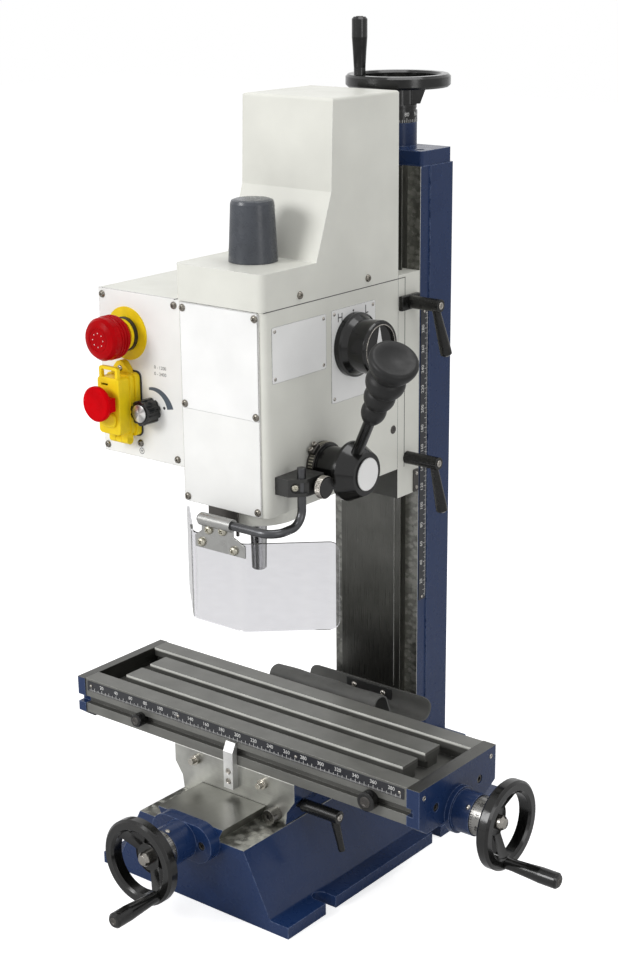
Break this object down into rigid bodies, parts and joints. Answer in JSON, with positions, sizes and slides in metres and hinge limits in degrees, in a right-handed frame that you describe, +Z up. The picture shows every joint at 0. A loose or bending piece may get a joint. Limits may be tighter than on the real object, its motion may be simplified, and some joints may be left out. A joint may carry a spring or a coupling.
{
  "type": "bench milling machine",
  "caption": "Bench milling machine with a dovetail column, tilting geared head, T-slotted cross table, handwheels, quill feed lever, control box and clear chip guard.",
  "frame": {"origin": "underside of the base, below the spindle axis, on the machine's plane of symmetry", "axes": "+X along the table to the operator's right, +Y from the operator to the column, +Z up"},
  "size_m": [0.5354, 0.5006, 0.7961],
  "materials": {
    "blue_paint": "gloss navy enamel",
    "ground_steel": "ground and scraped",
    "grey_paint": "light warm grey enamel",
    "panel_white": "white panel",
    "black_gloss": "gloss black",
    "steel": "turned steel",
    "bronze": "bronze nut",
    "motor_paint": "dark enamel",
    "slate_plastic": "glossy slate",
    "yellow_plastic": "yellow",
    "red_plastic": "red",
    "green_plastic": "green",
    "dark_plastic": "black moulding",
    "grip_rubber": "folded rubber",
    "apron_rubber": "rubber sheet",
    "clear_shield": "clear sheet"
  },
  "bodies": {
    "frame": {"base": "blue_paint", "column": "blue_paint", "z_bracket": "blue_paint", "y_bracket": "blue_paint", "way_apron": "apron_rubber"},
    "saddle": {"saddle": "ground_steel", "saddle_nuts": "bronze", "saddle_pointer": "ground_steel", "saddle_screws": "steel"},
    "saddle_clamp": {"saddle_lever": "black_gloss"},
    "table": {"table": "ground_steel", "end_plate_left": "blue_paint", "end_plate_right": "blue_paint"},
    "left_stop": {"stop_left": "black_gloss"},
    "right_stop": {"stop_right": "black_gloss"},
    "x_drive": {"x_screw": "steel", "x_dial": "steel", "x_wheel": "black_gloss"},
    "x_handle": {"x_crank": "black_gloss"},
    "y_drive": {"y_screw": "steel", "y_dial": "steel", "y_wheel": "black_gloss"},
    "y_handle": {"y_crank": "black_gloss"},
    "z_drive": {"z_screw": "steel", "z_dial": "black_gloss", "z_wheel": "black_gloss"},
    "z_handle": {"z_crank": "black_gloss"},
    "carriage": {"carriage": "grey_paint", "z_nut": "bronze"},
    "upper_clamp": {"z_lever_upper": "black_gloss"},
    "lower_clamp": {"z_lever_lower": "black_gloss"},
    "head": {"head_casting": "grey_paint", "head_cover": "grey_paint", "front_panel": "panel_white", "head_screws": "steel", "control_box": "grey_paint", "control_panel": "panel_white", "estop_base": "yellow_plastic", "switch_base": "yellow_plastic", "motor": "motor_paint", "guard_block": "dark_plastic"},
    "cap": {"drawbar_cap": "slate_plastic"},
    "estop": {"estop_button": "red_plastic"},
    "flap": {"switch_flap": "yellow_plastic"},
    "paddle": {"stop_paddle": "red_plastic"},
    "start": {"start_key": "green_plastic"},
    "speed": {"speed_knob": "black_gloss"},
    "range": {"gear_knob": "black_gloss"},
    "quill": {"quill": "steel"},
    "feed": {"feed_hub": "black_gloss", "feed_lever": "grip_rubber"},
    "spindle": {"spindle": "steel", "arbor": "steel"},
    "spindle_drive": {"spindle_gear": "steel"},
    "cluster": {"gear_cluster": "steel"},
    "pinion": {"motor_pinion": "steel"},
    "guard": {"guard_rod": "black_gloss", "guard_bracket": "steel", "guard_shield": "clear_shield"},
    "guard_clamp": {"guard_knob": "black_gloss"}
  },
  "joints": [
    {"name": "y_slide", "type": "slide", "parent": "frame", "child": "saddle", "axis": [0, 1, 0], "range_m": [-0.06, 0.085], "deforming": ["way_apron"]},
    {"name": "saddle_clamp_turn", "type": "hinge", "parent": "saddle", "child": "saddle_clamp", "pos_m": [0.075, -0.03, 0.0915], "axis": [1, 0, 0], "range_deg": [-45, 45]},
    {"name": "x_slide", "type": "slide", "parent": "saddle", "child": "table", "axis": [1, 0, 0], "range_m": [-0.11, 0.105]},
    {"name": "left_stop_slide", "type": "slide", "parent": "table", "child": "left_stop", "axis": [1, 0, 0], "range_m": [-0.06, 0]},
    {"name": "right_stop_slide", "type": "slide", "parent": "table", "child": "right_stop", "axis": [1, 0, 0], "range_m": [0, 0.025]},
    {"name": "x_turn", "type": "hinge", "parent": "table", "child": "x_drive", "pos_m": [0.243, 0.0156, 0.1145], "axis": [1, 0, 0], "range_deg": [-19820, 19820]},
    {"name": "x_handle_spin", "type": "hinge", "parent": "x_drive", "child": "x_handle", "pos_m": [0.276, 0.0088, 0.0812], "axis": [1, 0, 0], "continuous": true},
    {"name": "y_turn", "type": "hinge", "parent": "frame", "child": "y_drive", "pos_m": [0, -0.146, 0.0697], "axis": [0, 1, 0], "range_deg": [-10820, 15320]},
    {"name": "y_handle_spin", "type": "hinge", "parent": "y_drive", "child": "y_handle", "pos_m": [0.02244, -0.178, 0.0442], "axis": [0, -1, 0], "continuous": true},
    {"name": "z_slide", "type": "slide", "parent": "frame", "child": "carriage", "axis": [0, 0, 1], "range_m": [-0.108, 0.092]},
    {"name": "z_turn", "type": "hinge", "parent": "frame", "child": "z_drive", "pos_m": [0, 0.218, 0.71], "axis": [0, 0, 1], "range_deg": [-19460, 16580]},
    {"name": "z_handle_spin", "type": "hinge", "parent": "z_drive", "child": "z_handle", "pos_m": [-0.01591, 0.17801, 0.742], "axis": [0, 0, 1], "continuous": true},
    {"name": "upper_clamp_turn", "type": "hinge", "parent": "carriage", "child": "upper_clamp", "pos_m": [0.052, 0.1635, 0.5362], "axis": [1, 0, 0], "range_deg": [-40, 40]},
    {"name": "lower_clamp_turn", "type": "hinge", "parent": "carriage", "child": "lower_clamp", "pos_m": [0.052, 0.1635, 0.3816], "axis": [1, 0, 0], "range_deg": [-40, 40]},
    {"name": "head_tilt", "type": "hinge", "parent": "carriage", "child": "head", "pos_m": [0, 0.148, 0.453], "axis": [0, 1, 0], "range_deg": [-90, 90]},
    {"name": "cap_lift", "type": "slide", "parent": "head", "child": "cap", "axis": [0, 0, 1], "range_m": [0, 0.06]},
    {"name": "estop_press", "type": "slide", "parent": "head", "child": "estop", "axis": [0, 1, 0], "range_m": [0, 0.004], "stiffness_N_per_m": 2000},
    {"name": "flap_open", "type": "hinge", "parent": "head", "child": "flap", "pos_m": [-0.1425, -0.032, 0.412], "axis": [1, 0, 0], "range_deg": [0, 90]},
    {"name": "stop_press", "type": "slide", "parent": "flap", "child": "paddle", "axis": [0, 1, 0], "range_m": [0, 0.003], "stiffness_N_per_m": 1000},
    {"name": "start_press", "type": "slide", "parent": "head", "child": "start", "axis": [0, 1, 0], "range_m": [0, 0.0025], "stiffness_N_per_m": 1000},
    {"name": "speed_turn", "type": "hinge", "parent": "head", "child": "speed", "pos_m": [-0.1128, -0.02, 0.442], "axis": [0, -1, 0], "range_deg": [-135, 135]},
    {"name": "range_turn", "type": "hinge", "parent": "head", "child": "range", "pos_m": [0.052, 0.0784, 0.5103], "axis": [1, 0, 0], "range_deg": [-45, 45]},
    {"name": "quill_feed", "type": "slide", "parent": "head", "child": "quill", "axis": [0, 0, -1], "range_m": [0, 0.05], "stiffness_N_per_m": 150, "springref_m": -0.12},
    {"name": "feed_turn", "type": "hinge", "parent": "head", "child": "feed", "pos_m": [0.052, 0.028, 0.407], "axis": [1, 0, 0], "range_deg": [-10, 328]},
    {"name": "spindle_spin", "type": "hinge", "parent": "quill", "child": "spindle", "pos_m": [0, 0, 0.4], "axis": [0, 0, 1], "continuous": true},
    {"name": "spindle_gear_spin", "type": "hinge", "parent": "head", "child": "spindle_drive", "pos_m": [0, 0, 0.53], "axis": [0, 0, 1], "continuous": true},
    {"name": "cluster_spin", "type": "hinge", "parent": "head", "child": "cluster", "pos_m": [0, 0.052, 0.53], "axis": [0, 0, 1], "continuous": true},
    {"name": "pinion_spin", "type": "hinge", "parent": "head", "child": "pinion", "pos_m": [0, 0.098, 0.547], "axis": [0, 0, 1], "continuous": true},
    {"name": "guard_swing", "type": "hinge", "parent": "head", "child": "guard", "pos_m": [0.072, -0.024, 0.4], "axis": [0, 0, 1], "range_deg": [0, 100]},
    {"name": "guard_clamp_turn", "type": "hinge", "parent": "head", "child": "guard_clamp", "pos_m": [0.079, -0.012, 0.4015], "axis": [1, 0, 0], "range_deg": [-90, 90]}
  ],
  "couplings": [
    {"joint": "x_turn", "follows": "x_slide", "rad_per_m": 3141.6},
    {"joint": "y_turn", "follows": "y_slide", "rad_per_m": 3141.6},
    {"joint": "z_turn", "follows": "z_slide", "rad_per_m": 3141.6},
    {"joint": "feed_turn", "follows": "quill_feed", "rad_per_m": 111},
    {"joint": "spindle_gear_spin", "follows": "spindle_spin", "ratio": 1},
    {"joint": "cluster_spin", "follows": "spindle_spin", "ratio": -1.6061},
    {"joint": "pinion_spin", "follows": "spindle_spin", "ratio": 3.7009}
  ]
}
